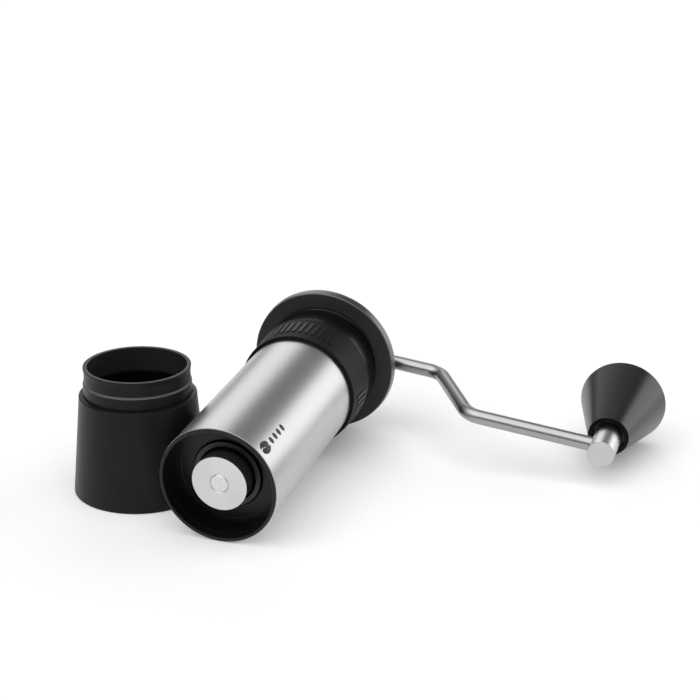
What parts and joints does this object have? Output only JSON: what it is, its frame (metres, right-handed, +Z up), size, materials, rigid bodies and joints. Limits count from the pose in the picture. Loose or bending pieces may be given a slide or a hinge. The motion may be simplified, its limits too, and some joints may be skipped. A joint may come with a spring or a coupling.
{
  "type": "hand crank coffee grinder",
  "caption": "Hand crank coffee grinder with a steel tube, wide rim, rubber thumb ring, conical burrs, bent crank arm with a tapered knob, and a separate catch cup.",
  "frame": {"origin": "on the floor, below the middle of the box around the lying grinder and its standing cup", "axes": "+Z up, +Y along the lying tube from its mouth towards its wide rim, +X towards the crank"},
  "size_m": [0.2814, 0.193, 0.0802],
  "materials": {
    "body_tube": "fine brushing around the tube, satin",
    "mouth_ring": "satin black moulding",
    "mouth_grip_ring": "matte",
    "burr_carrier": "matte black moulding",
    "outer_burr": "dark hardened steel",
    "clamp_screws": "plain steel screws",
    "lower_bridge": "matte black moulding",
    "lower_outer_race": "ground bearing steel",
    "lower_balls": "polished",
    "lower_seals": "matte",
    "lower_circlip": "spring steel",
    "upper_bridge": "matte black moulding",
    "upper_outer_race": "ground bearing steel",
    "upper_balls": "polished",
    "upper_seals": "matte",
    "upper_circlip": "spring steel",
    "thumb_ring": "matte silicone rubber",
    "funnel_rim": "satin black moulding",
    "lower_inner_race": "ground bearing steel",
    "upper_inner_race": "ground bearing steel",
    "axle_spacer": "drawn tube",
    "dial_washer": "satin",
    "axle": "turned steel",
    "inner_burr": "dark hardened steel with a bright ground end face",
    "burr_springs": "spring steel",
    "setting_dial": "satin black moulding",
    "lid": "satin black moulding",
    "lid_seal": "matte",
    "crank_hub": "satin turned steel",
    "crank_arm": "satin steel rod",
    "arm_boss": "satin turned steel",
    "hub_screw": "plain steel",
    "knob_pin": "turned steel",
    "knob_washer": "plain steel",
    "knob_clip": "spring steel",
    "knob_shell": "satin black moulding",
    "knob_lower_bush": "plain acetal",
    "knob_upper_bush": "plain acetal",
    "knob_cap": "satin black moulding",
    "catch_cup": "satin black moulding"
  },
  "bodies": {
    "grinder": {"body_tube": "body_tube", "mouth_ring": "mouth_ring", "mouth_grip_ring": "mouth_grip_ring", "burr_carrier": "burr_carrier", "outer_burr": "outer_burr", "clamp_screws": "clamp_screws", "lower_bridge": "lower_bridge", "lower_outer_race": "lower_outer_race", "lower_balls": "lower_balls", "lower_seals": "lower_seals", "lower_circlip": "lower_circlip", "upper_bridge": "upper_bridge", "upper_outer_race": "upper_outer_race", "upper_balls": "upper_balls", "upper_seals": "upper_seals", "upper_circlip": "upper_circlip", "thumb_ring": "thumb_ring", "funnel_rim": "funnel_rim"},
    "rotor": {"lower_inner_race": "lower_inner_race", "upper_inner_race": "upper_inner_race", "axle_spacer": "axle_spacer", "dial_washer": "dial_washer"},
    "burr_axle": {"axle": "axle", "inner_burr": "inner_burr", "burr_springs": "burr_springs"},
    "dial": {"setting_dial": "setting_dial"},
    "lid": {"lid": "lid", "lid_seal": "lid_seal"},
    "crank": {"crank_hub": "crank_hub", "crank_arm": "crank_arm", "arm_boss": "arm_boss", "hub_screw": "hub_screw", "knob_pin": "knob_pin", "knob_washer": "knob_washer", "knob_clip": "knob_clip"},
    "knob": {"knob_shell": "knob_shell", "knob_lower_bush": "knob_lower_bush", "knob_upper_bush": "knob_upper_bush", "knob_cap": "knob_cap"},
    "cup": {"catch_cup": "catch_cup"}
  },
  "joints": [
    {"name": "crank_spin", "type": "hinge", "parent": "grinder", "child": "rotor", "pos_m": [-0.04371, -0.02123, 0.03466], "axis": [0, 0.9978, 0.0657], "continuous": true},
    {"name": "burr_lift", "type": "slide", "parent": "rotor", "child": "burr_axle", "axis": [0, -0.9978, -0.0657], "range_m": [0, 0.00175]},
    {"name": "dial_turn", "type": "hinge", "parent": "rotor", "child": "dial", "pos_m": [-0.04371, 0.06967, 0.04065], "axis": [0, 0.9978, 0.0657], "range_deg": [0, 1260]},
    {"name": "crank_lift", "type": "slide", "parent": "burr_axle", "child": "crank", "axis": [0, 0.9978, 0.0657], "range_m": [0, 0.06]},
    {"name": "knob_spin", "type": "hinge", "parent": "crank", "child": "knob", "pos_m": [0.11748, 0.04912, 0.02025], "axis": [0, 0.9978, 0.0657], "continuous": true},
    {"name": "lid_lift", "type": "slide", "parent": "grinder", "child": "lid", "axis": [0, 0.9978, 0.0657], "range_m": [0, 0.036]},
    {"name": "cup_lift", "type": "slide", "parent": "grinder", "child": "cup", "axis": [-0.3489, 0, 0.9371], "range_m": [0, 0.09]}
  ],
  "couplings": [
    {"joint": "dial_turn", "follows": "burr_lift", "rad_per_m": 12566},
    {"joint": "lid_lift", "follows": "crank_lift", "ratio": 0.6}
  ]
}
